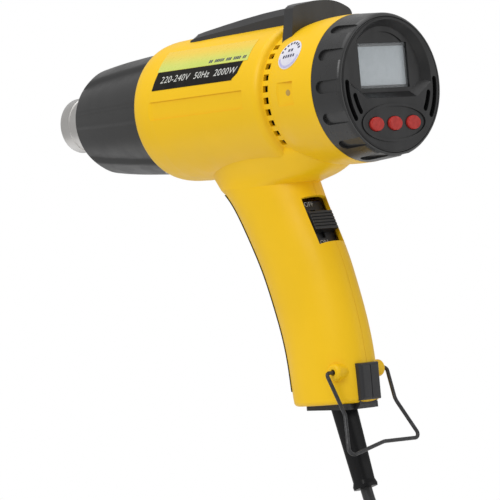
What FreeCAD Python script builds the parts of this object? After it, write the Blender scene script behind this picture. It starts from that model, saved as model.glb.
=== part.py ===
import FreeCAD, Part
import os, math
from FreeCAD import Vector as V
os.makedirs("parts", exist_ok=True)

# ---------------------------------------------------------------- driving dimensions (mm)
# Work frame: X along the barrel (0 = rear face of the cap, + towards the nozzle),
# Y to the gun's left, Z up, Z = 0 on the barrel's axis. Every solid is moved to the
# grip origin when it is written.
GRIP_X, GRIP_Z = 80.0, -112.0      # grip centre in the work frame
WALL = 2.4                         # moulded wall
CAP_LEN = 22.0                     # rear cap depth
R_CAP_REAR, R_CAP_FRONT = 41.3, 43.3
R_BELL = 43.4                      # rear bell radius
R_BARREL = 43.2                    # main barrel radius
X_GROOVE0, X_GROOVE1 = 62.0, 67.2  # air inlet groove
R_GROOVE = 39.2
X_RIM = 179.3                      # front end of the housing
X_SHIELD = 262.0                   # front end of the heat shield
X_NOZZLE = 274.5                   # front end of the nozzle
R_NOZZLE = 17.0                    # nozzle outside radius (34 mm accessories)
T_NOZZLE = 0.8
SEAM = 0.10                        # half gap between the two housing halves
Z_FOOT = -182.5                    # underside of the handle housing
HN = 2.2                           # super-ellipse exponent of the handle section
# handle sections: z, rear x, front x, half width
HANDLE = [(-50.6, 72.2, 143.6, 21.0), (-62.0, 68.4, 133.0, 20.7), (-75.0, 62.7, 125.8, 20.3),
          (-89.0, 56.2, 119.2, 19.8), (-105.0, 50.6, 112.4, 19.6), (-122.0, 46.1, 106.6, 19.8),
          (-140.0, 42.4, 101.4, 20.1), (-158.0, 40.4, 98.2, 20.3), (-182.5, 39.9, 95.6, 20.4)]
NECK = [(-29.0, 27.0, 153.5, 26.5), (-37.0, 35.5, 152.0, 25.2), (-43.0, 46.0, 149.8, 22.6),
        (-46.8, 55.4, 147.2, 21.5), (-48.9, 64.2, 145.3, 21.2), (-50.8, 72.4, 143.4, 21.0)]
# switch window on the handle's rear face
SW_O = V(66.2, 0, -74.1)
SW_T = V(-0.395, 0, -0.919)        # towards ON
SW_N = V(-0.919, 0, 0.395)         # outwards
SW_HALF_LEN, SW_HALF_W, SW_DEPTH = 15.2, 10.2, 4.9
KNOB_HALF, KNOB_HALF_W, KNOB_TOP = 5.9, 9.2, 1.4
SW_TRAVEL = 6.0
# hanging bail
BAIL_X, BAIL_Z, BAIL_D = 49.3, -163.6, 2.3
BOSS_R, BOSS_Y, BOSS_HOLE = 5.1, 19.6, 1.9
# buttons
BTN_Z, BTN_PITCH, BTN_RY, BTN_RZ = -22.6, 15.1, 5.5, 4.1
BTN_TRAVEL = 1.0
# rotor
R_SHAFT = 1.6
# cord
CORD_D = 7.0
BOOT0, BOOT1 = V(62.8, 0, -184.0), V(50.1, 0, -232.8)
COIL_R_OUT_MID, COIL_R_IN_MID, COIL_LAYERS = 42.0, 35.0, 4

X, Y, Z = V(1, 0, 0), V(0, 1, 0), V(0, 0, 1)
NODES = {}


def poly(pts):
    return Part.Face(Part.makePolygon([V(*p) for p in pts] + [V(*pts[0])]))


def rev(pts):
    """Revolve a closed (x, r) outline about the barrel's axis."""
    return poly([(x, 0, r) for x, r in pts]).revolve(V(0, 0, 0), X, 360)


def rev_edges(edges):
    return Part.Face(Part.Wire(edges)).revolve(V(0, 0, 0), X, 360)


def prism(pts, axis, lo, hi):
    """Extrude an outline along an axis. pts are given in the other two axes, in order."""
    if axis == "x":
        f, d = poly([(lo, a, b) for a, b in pts]), V(hi - lo, 0, 0)
    elif axis == "y":
        f, d = poly([(a, lo, b) for a, b in pts]), V(0, hi - lo, 0)
    else:
        f, d = poly([(a, b, lo) for a, b in pts]), V(0, 0, hi - lo)
    return f.extrude(d)


def box(x0, x1, y0, y1, z0, z1):
    return Part.makeBox(x1 - x0, y1 - y0, z1 - z0, V(x0, y0, z0))


def cyl(r, p, d, h):
    return Part.makeCylinder(r, h, V(*p) if not isinstance(p, V) else p, d)


def tube(r1, r0, p, d, h):
    return cyl(r1, p, d, h).cut(cyl(r0, (V(*p) if not isinstance(p, V) else p) - d * 0.5, d, h + 1.0))


def frame_box(o, u, v, w, lu, lv, w0, w1):
    """Box about o: +-lu along u, +-lv along v, w0..w1 along w."""
    a = o - u * lu - v * lv + w * w0
    f = Part.Face(Part.makePolygon([a, a + u * 2 * lu, a + u * 2 * lu + v * 2 * lv, a + v * 2 * lv, a]))
    return f.extrude(w * (w1 - w0))


def spline(pts, closed=False):
    b = Part.BSplineCurve()
    b.interpolate(Points=[V(*p) for p in pts], PeriodicFlag=closed)
    return b.toShape()


def oval_wire(z, x0, x1, b, n=HN, count=36):
    xc, a = (x0 + x1) / 2.0, (x1 - x0) / 2.0
    pts = []
    for i in range(count):
        t = 2 * math.pi * i / count
        c, s = math.cos(t), math.sin(t)
        pts.append((xc + a * math.copysign(abs(c) ** (2.0 / n), c), b * math.copysign(abs(s) ** (2.0 / n), s), z))
    return Part.Wire([spline(pts, True)])


def loft_sections(rows, inset=0.0):
    return Part.makeLoft([oval_wire(z, x0 + inset, x1 - inset, b - inset) for z, x0, x1, b in rows], True, False)


def fuse(shapes):
    s = shapes[0]
    for o in shapes[1:]:
        s = s.fuse(o)
    return s


def clean(s):
    try:
        r = s.removeSplitter()
        return r if r.isValid() else s
    except Exception:
        return s


def route(points, closed=False):
    """Straight runs joined by tangent arcs, each arc as large as its two runs allow."""
    P = [V(*p) for p in points]
    edges, last, radii = [], P[0], []
    for i in range(1, len(P) - 1):
        a, b, c = P[i - 1], P[i], P[i + 1]
        u, w = (a - b), (c - b)
        lu, lw = u.Length, w.Length
        u.normalize(); w.normalize()
        turn = math.pi - math.acos(max(-1, min(1, u.dot(w))))
        t = 0.45 * min(lu, lw)
        radii.append(t / math.tan(turn / 2))
        p0, p1 = b + u * t, b + w * t
        m = (u + w); m.normalize()
        mid = b + m * (math.hypot(t, radii[-1]) - radii[-1])
        if (p0 - last).Length > 1e-6:
            edges.append(Part.LineSegment(last, p0).toShape())
        edges.append(Part.Arc(p0, mid, p1).toShape())
        last = p1
    edges.append(Part.LineSegment(last, P[-1]).toShape())
    return Part.Wire(edges), radii


def sweep_tube(points, r, name=None):
    w, radii = route(points)
    d = w.Edges[0].tangentAt(w.Edges[0].FirstParameter)
    prof = Part.Wire([Part.makeCircle(r, V(*points[0]), d)])
    s = w.makePipeShell([prof], True, True)
    if name:
        print(name, "length %.1f radii %s volume ratio %.4f" % (
            w.Length, [round(x, 1) for x in radii], s.Volume / (math.pi * r * r * w.Length)))
    return s


# ================================================================ housing
def barrel_profile(off=0.0):
    top = [(CAP_LEN + 0.2, R_BELL), (30, 43.5), (40, 43.2), (50, 42.1), (57, 40.9), (61.0, 39.9)]
    return top


def barrel_solid():
    e = [spline([(x, 0, r) for x, r in barrel_profile()]),
         Part.makePolygon([V(61.0, 0, 39.9), V(X_GROOVE0, 0, R_GROOVE), V(X_GROOVE1, 0, R_GROOVE), V(67.9, 0, 40.6)]),
         spline([(67.9, 0, 40.6), (68.6, 0, 41.7), (70.2, 0, 42.7), (73.0, 0, R_BARREL)]),
         Part.makePolygon([V(73.0, 0, R_BARREL), V(160.0, 0, R_BARREL)]),
         spline([(160.0, 0, R_BARREL), (168.4, 0, 42.8), (174.0, 0, 42.1), (177.4, 0, 41.0), (179.0, 0, 39.6), (X_RIM, 0, 38.9)]),
         Part.makePolygon([V(X_RIM, 0, 38.9), V(X_RIM, 0, 0), V(CAP_LEN + 0.2, 0, 0), V(CAP_LEN + 0.2, 0, R_BELL)])]
    edges = []
    for k in e:
        edges += k.Edges
    return rev_edges(edges)


barrel = barrel_solid()
neck = loft_sections(NECK)
handle = loft_sections(HANDLE)
foot_edges = [e for e in handle.Edges if abs(e.BoundBox.ZMin - Z_FOOT) < 0.01 and abs(e.BoundBox.ZMax - Z_FOOT) < 0.01]
handle = handle.makeFillet(2.6, foot_edges)
bosses = [cyl(BOSS_R, (BAIL_X, s * 8.0, BAIL_Z), Y * s, BOSS_Y - 8.0) for s in (1, -1)]
bosses = [b.makeFillet(2.0, [e for e in b.Edges if abs(abs(e.CenterOfMass.y) - BOSS_Y) < 0.01]) for b in bosses]
outer = fuse([barrel, neck, handle] + bosses)

cavity_barrel = rev([(CAP_LEN, 0), (CAP_LEN, 40.9), (56, 38.4), (61.0, 37.2), (68.4, 36.9), (71.0, 40.6), (160, 40.8),
                     (173.0, 39.6), (175.2, 38.7), (175.2, 0)])
cavity_mouth = rev([(175.0, 0), (175.0, 38.35), (180.2, 38.35), (180.2, 0)])
cavity_neck = loft_sections([(z, x0 + WALL * 1.6, x1 - WALL * 1.3, b - WALL * 1.25) for z, x0, x1, b in NECK])
cavity_handle = loft_sections([(z if z > -180 else Z_FOOT + 2.6, x0 + WALL * 1.05, x1 - WALL * 1.05, b - WALL * 1.05)
                               for z, x0, x1, b in HANDLE])
cavity = fuse([cavity_barrel, cavity_mouth, cavity_neck, cavity_handle])
shell = outer.cut(cavity)

# air inlets: a ring of small openings in the groove, on both flanks
cuts = []
for side in (1, -1):
    for k in range(10):
        a = math.radians(47.0 - 10.1 * k)
        o = V(64.6, side * 38.0 * math.cos(a), 38.0 * math.sin(a))
        rad = V(0, side * math.cos(a), math.sin(a))
        tan = V(0, -side * math.sin(a), math.cos(a))
        cuts.append(frame_box(o, X, tan, rad, 2.1, 1.95, -2.5, 4.0))
    # screw recess on the bell, with a ramp at its front end
    cuts.append(prism([(38.0, side * 60), (38.0, side * 41.0), (51.8, side * 41.0), (55.0, side * 43.2), (55.0, side * 60)], "z", -6.9, 6.9))
    # long shallow panel on the barrel's flank, with ramp ends
    cuts.append(prism([(79.0, side * 60), (81.0, side * 42.0), (160.0, side * 42.0), (164.5, side * 43.4), (164.5, side * 60)], "z", -5.2, 5.6))
# switch window
cuts.append(frame_box(SW_O, SW_T, Y, SW_N, SW_HALF_LEN, SW_HALF_W, -9.0, 8.0))
# bail pivot holes
cuts.append(cyl(BOSS_HOLE, (BAIL_X, -30, BAIL_Z), Y, 60))
# cord opening in the foot
cuts.append(frame_box(V(63.4, 0, Z_FOOT), X, Y, Z, 7.4, 7.4, -1, 6))
for c in cuts:
    shell = shell.cut(c)

# front grip strip: a rubber inlay let into the front of the handle
strip_outer = loft_sections([(z, x0, x1 + 0.9, b + 0.25) for z, x0, x1, b in HANDLE])
strip_inner = loft_sections([(z, x0 + 1.3, x1 - 1.3, b - 1.3) for z, x0, x1, b in HANDLE])
side_zone = prism([(150, -53.5), (132.6, -53.5), (127.4, -62), (120.4, -75), (113.8, -89), (107.0, -105), (101.2, -122), (96.0, -140),
                   (92.6, -158), (90.6, -173.5), (150, -173.5)], "y", -30, 30)
strip = strip_outer.cut(strip_inner).common(side_zone)
shell = shell.cut(strip_outer.common(side_zone).cut(strip_inner))

BIG = 400
left = shell.common(box(-10, BIG, SEAM, BIG, -BIG, BIG))
right = shell.common(box(-10, BIG, -BIG, -SEAM, -BIG, BIG))

# internal screw bosses, moulded with the halves
SCREWS = [(43.8, 0.5, 41.0), (123.0, -52.0, 17.0), (88.0, -98.0, 17.0), (84.0, -142.0, 17.0), (104.0, 38.0, 14.0)]
POSTS = [(x, z) for x, z, h in SCREWS[1:4]]
lp, rp = [], []
for x, z in POSTS:
    lp.append(cyl(3.4, (x, SEAM, z), Y, 17.6).cut(cyl(1.3, (x, 0, z), Y, 12)))
    rp.append(cyl(3.4, (x, -17.6, z), Y, 17.6 - SEAM).cut(cyl(1.8, (x, -20, z), Y, 21)))
left = fuse([left] + lp)
right = fuse([right] + rp)
for x, z in POSTS:
    right = right.cut(cyl(3.3, (x, -30, z), Y, 30 - 14.5)).cut(cyl(1.8, (x, -30, z), Y, 30))
NODES["left_shell"] = clean(left)
NODES["right_shell"] = clean(right)
NODES["front_grip_strip"] = clean(strip)

# housing screws: pan head, straight shank
sc = []
for x, z in POSTS:
    s = fuse([cyl(2.9, (x, -16.6, z), Y, 2.1), cyl(1.45, (x, -14.6, z), Y, 23.0)])
    s = s.cut(box(x - 2.2, x + 2.2, -17.0, -15.6, z - 0.4, z + 0.4)).cut(box(x - 0.4, x + 0.4, -17.0, -15.6, z - 2.2, z + 2.2))
    sc.append(s)
NODES["housing_screws"] = Part.makeCompound(sc)
pl = []
for s in (1, -1):
    pl.append(fuse([cyl(1.75, (43.8, s * 39.4, 0.5), Y * s, 1.75), ]))
NODES["recess_plugs"] = Part.makeCompound(pl)
for s, nm in ((1, "left_shell"), (-1, "right_shell")):
    NODES[nm] = NODES[nm].cut(cyl(1.8, (43.8, s * 38.0, 0.5), Y * s, 6.0))

# ================================================================ labels and sticker (thin printed films)
def sector(x0, x1, a0, a1, r0, r1, side=1, skew=0.0):
    """Curved film on the barrel between two angles (degrees above horizontal)."""
    ring = rev([(x0, r0), (x0, r1), (x1, r1), (x1, r0)])
    a0, a1 = math.radians(a0), math.radians(a1)
    R = 70
    w = prism([(0, 0), (side * R * math.cos(a0), R * math.sin(a0)),
               (side * R * math.cos((a0 + a1) / 2), R * math.sin((a0 + a1) / 2)),
               (side * R * math.cos(a1), R * math.sin(a1))], "x", x0 - 1, x1 + 1)
    return ring.common(w)


black = sector(82.0, 160.0, 16.5, 32.0, R_BARREL, R_BARREL + 0.22)
# the strip's ends lean, and its lower rear corner is cut off
black = black.cut(prism([(82.0, 0), (82.0, 30), (83.4, 23.0), (86.0, 16.0), (90.0, 13.0), (90.0, 0)], "y", 0, 60))
black = black.cut(prism([(160.0, 30.0), (157.6, 23.2), (160.0, 12.0), (162.0, 12.0), (162, 30)], "y", 0, 60))
NODES["rating_label"] = clean(black)
lime = sector(80.0, 158.5, 32.3, 54.0, R_BARREL, R_BARREL + 0.18)
NODES["title_label"] = clean(lime)
st_dir = V(0, math.cos(math.radians(32.5)), math.sin(math.radians(32.5)))
st_prof = [(x, r + 0.02) for x, r in ((30, 43.5), (35, 43.40), (40, 43.2), (45, 42.72), (50, 42.1), (57, 40.9))]
st_o = rev_edges([spline([(x, 0, r + 0.20) for x, r in st_prof])] +
                 Part.makePolygon([V(57, 0, st_prof[-1][1] + 0.20), V(57, 0, 0), V(30, 0, 0), V(30, 0, st_prof[0][1] + 0.20)]).Edges)
sticker = st_o.cut(barrel).common(cyl(9.6, V(44.8, 0, 0), st_dir, 60))
NODES["round_sticker"] = clean(sticker)

# ================================================================ top rest: rail and rear fin
rail_secs = []
for x, hb, ze, zt in ((60.0, 7.4, 48.8, 52.9), (70.0, 8.2, 48.6, 52.9), (82.0, 9.9, 48.0, 52.2), (93.0, 12.0, 46.8, 51.3), (109.0, 13.6, 45.0, 49.6),
                      (125.0, 14.9, 43.8, 47.6), (140.0, 16.9, 42.4, 45.4), (145.6, 17.3, 41.8, 44.5), (149.4, 17.0, 41.0, 42.4)):
    he, ht = hb - 0.7, hb - 4.6
    rail_secs.append(Part.makePolygon([V(x, -hb, 30), V(x, -he, ze), V(x, -ht, zt), V(x, ht, zt), V(x, he, ze), V(x, hb, 30), V(x, -hb, 30)]))
rail = Part.makeLoft(rail_secs, True, True)
# rear fin: a cross plate with a shallow arched top, standing slightly towards the right
FIN_X = 54.0
fin_top = [(20.9, 50.4), (19.6, 51.6), (14.6, 52.7), (6.2, 54.2), (-2.1, 54.9), (-10.3, 54.7), (-18.4, 52.9), (-23.2, 50.9), (-26.2, 48.9), (-27.2, 47.2)]
fin_face = Part.Face(Part.Wire([spline([(FIN_X, y, z) for y, z in fin_top])] +
                               Part.makePolygon([V(FIN_X, -27.2, 47.2), V(FIN_X, -27.6, 26.0), V(FIN_X, 25.2, 26.0), V(FIN_X, 20.9, 50.4)]).Edges))
fin = fin_face.extrude(V(15.0, 0, 0))
# its sides run in to the rail with a hollow, leaving the housing's edge clear in front
fin = fin.cut(cyl(9.5, (70.8, 20.2, 0), Z, 80)).cut(cyl(9.5, (70.8, -22.6, 0), Z, 80)).cut(box(62.5, 80, 18.5, 40, 0, 80)).cut(box(62.5, 80, -40, -20.5, 0, 80))
rest = rail.fuse(fin).cut(barrel)
NODES["top_rest"] = clean(rest)

# ================================================================ heat shield
def smooth(v):
    v = max(0.0, min(1.0, v))
    return v * v * v * (v * (6 * v - 15) + 10)


def shield_wire(x, rtop, depth=2.7, n=160):
    pts = []
    for i in range(n):
        t = 2 * math.pi * i / n
        up = math.degrees(math.asin(min(1.0, abs(math.sin(t)))))   # 0 = side, 90 = top or bottom
        su = math.degrees(math.asin(max(-1.0, min(1.0, math.sin(t)))))
        edge = 54.0 - (x - 180.0) / 60.0 * 6.0
        s = smooth((up - (edge - 4.0)) / 7.5)
        # raised bands at the top and bottom, a faint flat channel along each flank
        d = depth * (1 - s) + 1.3 * smooth((11.5 - abs(su - 2.0)) / 5.0)
        d -= 0.9 * (1 - s) * math.cos(math.radians(max(-90.0, min(90.0, (up - 28.0) * 4.0)))) ** 2
        r = rtop - d
        pts.append((x, r * math.cos(t), r * math.sin(t)))
    return Part.Wire([spline(pts, True)])


def rail_radius(x, table):
    """Monotone cubic through the (x, r) table."""
    n = len(table)
    xs, rs = [p[0] for p in table], [p[1] for p in table]
    sl = [(rs[i + 1] - rs[i]) / (xs[i + 1] - xs[i]) for i in range(n - 1)]
    m = [sl[0]] + [(0.0 if sl[i - 1] * sl[i] <= 0 else 2 * sl[i - 1] * sl[i] / (sl[i - 1] + sl[i])) for i in range(1, n - 1)] + [sl[-1]]
    for i in range(n - 1):
        if xs[i] <= x <= xs[i + 1]:
            h = xs[i + 1] - xs[i]
            u = (x - xs[i]) / h
            return ((2 * u ** 3 - 3 * u ** 2 + 1) * rs[i] + (u ** 3 - 2 * u ** 2 + u) * h * m[i]
                    + (-2 * u ** 3 + 3 * u ** 2) * rs[i + 1] + (u ** 3 - u ** 2) * h * m[i + 1])
    return rs[-1]


SH = [(171.0, 38.1), (178.0, 37.8), (200.0, 36.4), (220.0, 34.8), (240.0, 32.3), (252.0, 30.2), (264.0, 27.8)]
SH_X = [171.0 + 9.3 * i for i in range(11)]
shield = Part.makeLoft([shield_wire(x, rail_radius(x, SH)) for x in SH_X], True, False)
nose = rev_edges([Part.LineSegment(V(165, 0, 0), V(165, 0, 60)).toShape(), Part.LineSegment(V(165, 0, 60), V(248.5, 0, 60)).toShape(),
                  Part.LineSegment(V(248.5, 0, 60), V(248.5, 0, 32.3)).toShape(),
                  Part.Arc(V(248.5, 0, 32.3), V(257.9, 0, 28.0), V(X_SHIELD, 0, 19.5)).toShape(),
                  Part.LineSegment(V(X_SHIELD, 0, 19.5), V(X_SHIELD, 0, 0)).toShape(), Part.LineSegment(V(X_SHIELD, 0, 0), V(165, 0, 0)).toShape()])
shield = shield.common(nose)
# rounded shoulder at the front end
shoulder = rev_edges(Part.makePolygon([V(275, 0, 17.0), V(275, 0, 60), V(229.0, 0, 60), V(229.0, 0, 35.9)]).Edges +
                     [spline([(229.0, 0, 35.9), (236.0, 0, 33.5), (241.0, 0, 31.4), (245.5, 0, 28.9), (249.0, 0, 25.9), (252.2, 0, 22.0), (254.8, 0, 17.0)]),
                      Part.LineSegment(V(254.8, 0, 17.0), V(275, 0, 17.0)).toShape()])
shield = shield.cut(shoulder)
hollow = rev([(160, 0), (160, 32.6), (190, 31.0), (225, 26.8), (243, 22.2), (250, 18.2), (250, 0)])
shield = shield.cut(hollow).cut(cyl(17.6, (250, 0, 0), X, 20))
# rear collar inside the housing, with three bayonet lugs
collar = rev([(167.5, 34.2), (167.5, 36.9), (171.4, 36.9), (171.4, 34.2)])
collar = collar.fuse(rev([(167.5, 31.8), (167.5, 36.9), (172.5, 36.9), (172.5, 31.8)]))
shield = shield.fuse(collar)
NODES["heat_shield"] = clean(shield)
# shield screw, lower rear
sa = math.radians(-72)
sdir = V(0, math.cos(sa), math.sin(sa))
scr_o = V(183.4, 0, 0) + sdir * 36.2
scr = fuse([cyl(2.4, scr_o, sdir, 2.0), cyl(1.2, V(183.4, 0, 0) + sdir * 30.8, sdir, 5.6)])
scr = scr.cut(frame_box(scr_o + sdir * 2.0, X, sdir.cross(X), sdir, 1.8, 0.35, -0.8, 0.4))
NODES["heat_shield"] = NODES["heat_shield"].cut(cyl(2.55, scr_o, sdir, 6)).cut(cyl(1.25, V(183.4, 0, 0) + sdir * 28, sdir, 12))
NODES["shield_screw"] = scr

# ================================================================ nozzle and heater
noz = rev([(160, R_NOZZLE - T_NOZZLE), (160, R_NOZZLE), (264.2, R_NOZZLE), (264.6, R_NOZZLE - 0.45), (265.8, R_NOZZLE - 0.45),
           (266.2, R_NOZZLE), (273.2, R_NOZZLE), (274.1, R_NOZZLE - 0.3), (X_NOZZLE, R_NOZZLE - 0.9), (X_NOZZLE, R_NOZZLE - 1.3),
           (273.9, R_NOZZLE - 1.5), (272.8, R_NOZZLE - 1.3), (266.0, R_NOZZLE - 1.25), (264.4, R_NOZZLE - 1.25), (263.2, R_NOZZLE - T_NOZZLE)])
flange = rev([(159.0, 16.2), (159.0, 23.0), (160.0, 23.0), (160.0, 16.2)])
NODES["nozzle_tube"] = clean(noz.fuse(flange))
NODES["mica_liner"] = rev([(162, 15.5), (162, 16.1), (250, 16.1), (250, 15.5)])
core = fuse([box(176, 246, -12.6, 12.6, -1.6, 1.6), box(176, 246, -1.6, 1.6, -12.6, 12.6), cyl(4.2, (176, 0, 0), X, 70)])
core = core.cut(cyl(1.6, (170, 0, 0), X, 80))
NODES["heater_core"] = clean(core)
ringsh = []
for k in range(10):
    ringsh.append(Part.makeTorus(13.6, 0.75, V(182 + 6.4 * k, 0, 0), X))
lead_w = [cyl(0.7, (174, 13.6 * math.cos(math.radians(a)), 13.6 * math.sin(math.radians(a))), X, 66) for a in (45, 225)]
NODES["heating_coil"] = clean(fuse(ringsh + lead_w))
disc = cyl(15.4, (172.2, 0, 0), X, 1.6)
for k in range(6):
    a = math.radians(60 * k + 15)
    disc = disc.cut(cyl(2.9, (170, 9.2 * math.cos(a), 9.2 * math.sin(a)), X, 6))
NODES["heater_disc"] = disc
front_disc = cyl(15.4, (247.0, 0, 0), X, 1.4)
for k in range(8):
    a = math.radians(45 * k + 22)
    front_disc = front_disc.cut(cyl(2.6, (245, 9.8 * math.cos(a), 9.8 * math.sin(a)), X, 6))
front_disc = front_disc.cut(cyl(3.6, (245, 0, 0), X, 6))
NODES["outlet_baffle"] = front_disc
NODES["air_sensor"] = fuse([cyl(1.0, (249.0, 0, 0), X, 10.0), Part.makeSphere(1.5, V(259.0, 0, 0)), cyl(3.4, (246.8, 0, 0), X, 2.4)])
NODES["thermal_cutout"] = fuse([box(163.5, 168.5, -5.5, 5.5, 17.8, 21.6), cyl(0.6, (160.3, -3.5, 19.7), X, 4), cyl(0.6, (160.3, 3.5, 19.7), X, 4)])

# ================================================================ fan, duct and motor
duct = rev([(77.0, 33.6), (77.0, 35.4), (140.0, 35.4), (157.4, 24.6), (158.9, 24.6), (158.9, 22.6), (156.8, 22.6), (139.2, 33.6)])
spokes = []
for k in range(4):
    a = 90 * k + 45
    b_ = box(110.0, 126.0, 16.2, 34.0, -1.2, 1.2)
    b_.rotate(V(0, 0, 0), X, a)
    spokes.append(b_)
cradle = tube(17.6, 15.75, (104.0, 0, 0), X, 30.0)
duct = fuse([duct, cradle] + spokes)
NODES["fan_duct"] = clean(duct)
can = tube(15.7, 14.2, (102.0, 0, 0), X, 36.0)
for xx in (102.0, 136.5):
    can = can.fuse(cyl(15.7, (xx, 0, 0), X, 1.5).cut(cyl(R_SHAFT + 0.06, (xx - 1, 0, 0), X, 4)))
NODES["motor_can"] = clean(can)
arm = cyl(R_SHAFT, (80.0, 0, 0), X, 60.5)
for k in range(3):
    b_ = box(108.0, 126.0, 1.0, 11.2, -2.2, 2.2).fuse(box(108.0, 126.0, 9.6, 11.6, -7.0, 7.0))
    b_.rotate(V(0, 0, 0), X, 120 * k)
    arm = arm.fuse(b_)
arm = arm.fuse(cyl(5.0, (108.0, 0, 0), X, 24.0))
NODES["motor_rotor"] = clean(arm)
wind = []
for k in range(3):
    b_ = fuse([box(106.2, 107.8, 2.5, 9.4, -4.6, 4.6), box(126.2, 127.8, 5.3, 9.4, -4.6, 4.6)])
    b_.rotate(V(0, 0, 0), X, 120 * k)
    wind.append(b_)
NODES["rotor_windings"] = Part.makeCompound([w for s in wind for w in s.Solids])
hub = cyl(11.5, (81.0, 0, 0), X, 14.0).cut(cyl(9.8, (88.0, 0, 0), X, 10.0)).fuse(cyl(4.0, (82.0, 0, 0), X, 12.0)).cut(cyl(R_SHAFT, (79.0, 0, 0), X, 20.0))
hub = hub.makeFillet(2.0, [e for e in hub.Edges if abs(e.BoundBox.XMin - 81.0) < 0.01 and abs(e.BoundBox.XMax - 81.0) < 0.01 and e.BoundBox.ZMax > 8])
for k in range(9):
    # twisted axial blade: loft between a root and a tip section
    def blade_sec(r, pitch, chord, t):
        c, s = math.cos(math.radians(pitch)), math.sin(math.radians(pitch))
        pts = [(-chord / 2, -t / 2), (chord / 2, -t / 2), (chord / 2, t / 2), (-chord / 2, t / 2)]
        return Part.makePolygon([V(88 + u * c - w * s, u * s + w * c, r) for u, w in pts] +
                                [V(88 + pts[0][0] * c - pts[0][1] * s, pts[0][0] * s + pts[0][1] * c, r)])
    bl = Part.makeLoft([blade_sec(10.6, 38, 13.0, 1.6), blade_sec(21.0, 50, 13.5, 1.4), blade_sec(32.2, 60, 13.0, 1.1)], True, True)
    bl.rotate(V(0, 0, 0), X, 40 * k)
    hub = hub.fuse(bl)
NODES["fan_impeller"] = clean(hub)

# ================================================================ rear cap: scalloped ring, face plate, display, buttons
ring_edges = [Part.LineSegment(V(CAP_LEN, 0, 36.5), V(CAP_LEN, 0, R_CAP_FRONT)).toShape(),
              Part.LineSegment(V(CAP_LEN, 0, R_CAP_FRONT), V(3.2, 0, R_CAP_REAR + 0.7)).toShape(),
              Part.Arc(V(3.2, 0, R_CAP_REAR + 0.7), V(1.35, 0, R_CAP_REAR + 0.1), V(0.5, 0, R_CAP_REAR - 0.7)).toShape(),
              Part.LineSegment(V(0.5, 0, R_CAP_REAR - 0.7), V(0.5, 0, 39.8)).toShape(),
              Part.LineSegment(V(0.5, 0, 39.8), V(4.0, 0, 39.8)).toShape(),
              Part.LineSegment(V(4.0, 0, 39.8), V(4.0, 0, 36.5)).toShape(),
              Part.LineSegment(V(4.0, 0, 36.5), V(CAP_LEN, 0, 36.5)).toShape()]
ring = rev_edges(ring_edges)
spigot = rev([(CAP_LEN - 1, 36.5), (CAP_LEN - 1, 38.2), (CAP_LEN + 7.0, 37.6), (CAP_LEN + 7.0, 36.0), (CAP_LEN - 1, 35.8)])
ring = ring.fuse(spigot)
for k in range(14):
    if k in (3, 4):
        continue                                      # no scallops at the very top
    a = math.radians(1.2 + 360.0 / 14 * k)
    rad, tan = V(0, math.cos(a), math.sin(a)), V(0, -math.sin(a), math.cos(a))
    o = rad * 41.1
    pocket = frame_box(o - X * 2.0, X, tan, rad, 16.9, 3.7, 0, 6).fuse(cyl(3.7, o + X * 14.9, rad, 6))
    ring = ring.cut(pocket)
NODES["rear_ring"] = clean(ring)

DISH_R, DISH_Z, DISH_CUT, DISH_D = 33.4, 4.4, -7.6, 4.8
plate = cyl(39.65, (0, 0, 0), X, 3.2)
plate = plate.makeFillet(1.3, [e for e in plate.Edges if abs(e.CenterOfMass.x) < 0.01 and e.BoundBox.ZMax > 30])
plate = plate.fuse(rev([(3.2, 35.2), (3.2, 36.3), (15.0, 36.3), (15.0, 35.2)]))


def dish_wire(x, inset):
    """Circle closed below by a chord, with long straight corners between them."""
    r = DISH_R - inset
    zc = DISH_CUT + inset
    zq = 0.6 + inset * 0.6                            # where the circle stops
    q = math.sqrt(r * r - (zq - DISH_Z) ** 2)
    c = 20.4 - inset * 0.4
    A, B, C = V(x, q, zq), V(x, 0, DISH_Z + r), V(x, -q, zq)
    D, E_ = V(x, -c, zc), V(x, c, zc)
    return Part.Wire([Part.Arc(A, B, C).toShape(), Part.LineSegment(C, D).toShape(), Part.LineSegment(D, E_).toShape(), Part.LineSegment(E_, A).toShape()])


cup = Part.makeLoft([dish_wire(1.0, -1.2), dish_wire(DISH_D + 1.4, 1.8)], True, True)
dish = Part.makeLoft([dish_wire(-0.6, -0.45), dish_wire(DISH_D, 3.6)], True, True)
plate = plate.fuse(cup.common(rev([(0.9, 0), (0.9, 39), (3.2, 39), (3.2, 36.3), (20, 36.3), (20, 0)]))).cut(dish)
# display opening: a rectangle with an arch over it
LCD_Y, LCD_Z0, LCD_Z1 = 20.0, -1.6, 24.6
opening = prism([(-LCD_Y, LCD_Z0), (LCD_Y, LCD_Z0), (LCD_Y, LCD_Z1), (-LCD_Y, LCD_Z1)], "x", 4, 12)
arch = cyl(25.2, (3, 0, 6.0), X, DISH_D + 0.8 - 3).common(box(3, 12, -17.0, 17.0, LCD_Z1 - 1.0, 40))
plate = plate.cut(opening).cut(arch)
# raised oval rim around the buttons
def oval_prism(ry, rz, zc, x0, x1):
    e = Part.Ellipse(V(x0, 0, zc), ry, rz)
    s = Part.Face(Part.Wire([Part.Ellipse(V(0, 0, 0), ry, rz).toShape()])).extrude(V(0, 0, x1 - x0))
    s.rotate(V(0, 0, 0), V(0, 1, 0), 90)     # extrusion now along +X, major axis along -Z
    s.rotate(V(0, 0, 0), X, 90)              # major axis along Y
    s.translate(V(x0, 0, zc))
    return s


plate = plate.fuse(oval_prism(26.6, 11.2, -22.2, -0.7, 1.0)).cut(oval_prism(24.9, 9.6, -22.2, -2.0, 0.1))
for k in (-1, 0, 1):
    o = oval_prism(BTN_RY + 0.3, BTN_RZ + 0.3, BTN_Z, -3, 8)
    o.translate(V(0, k * BTN_PITCH, 0))
    plate = plate.cut(o)
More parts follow.
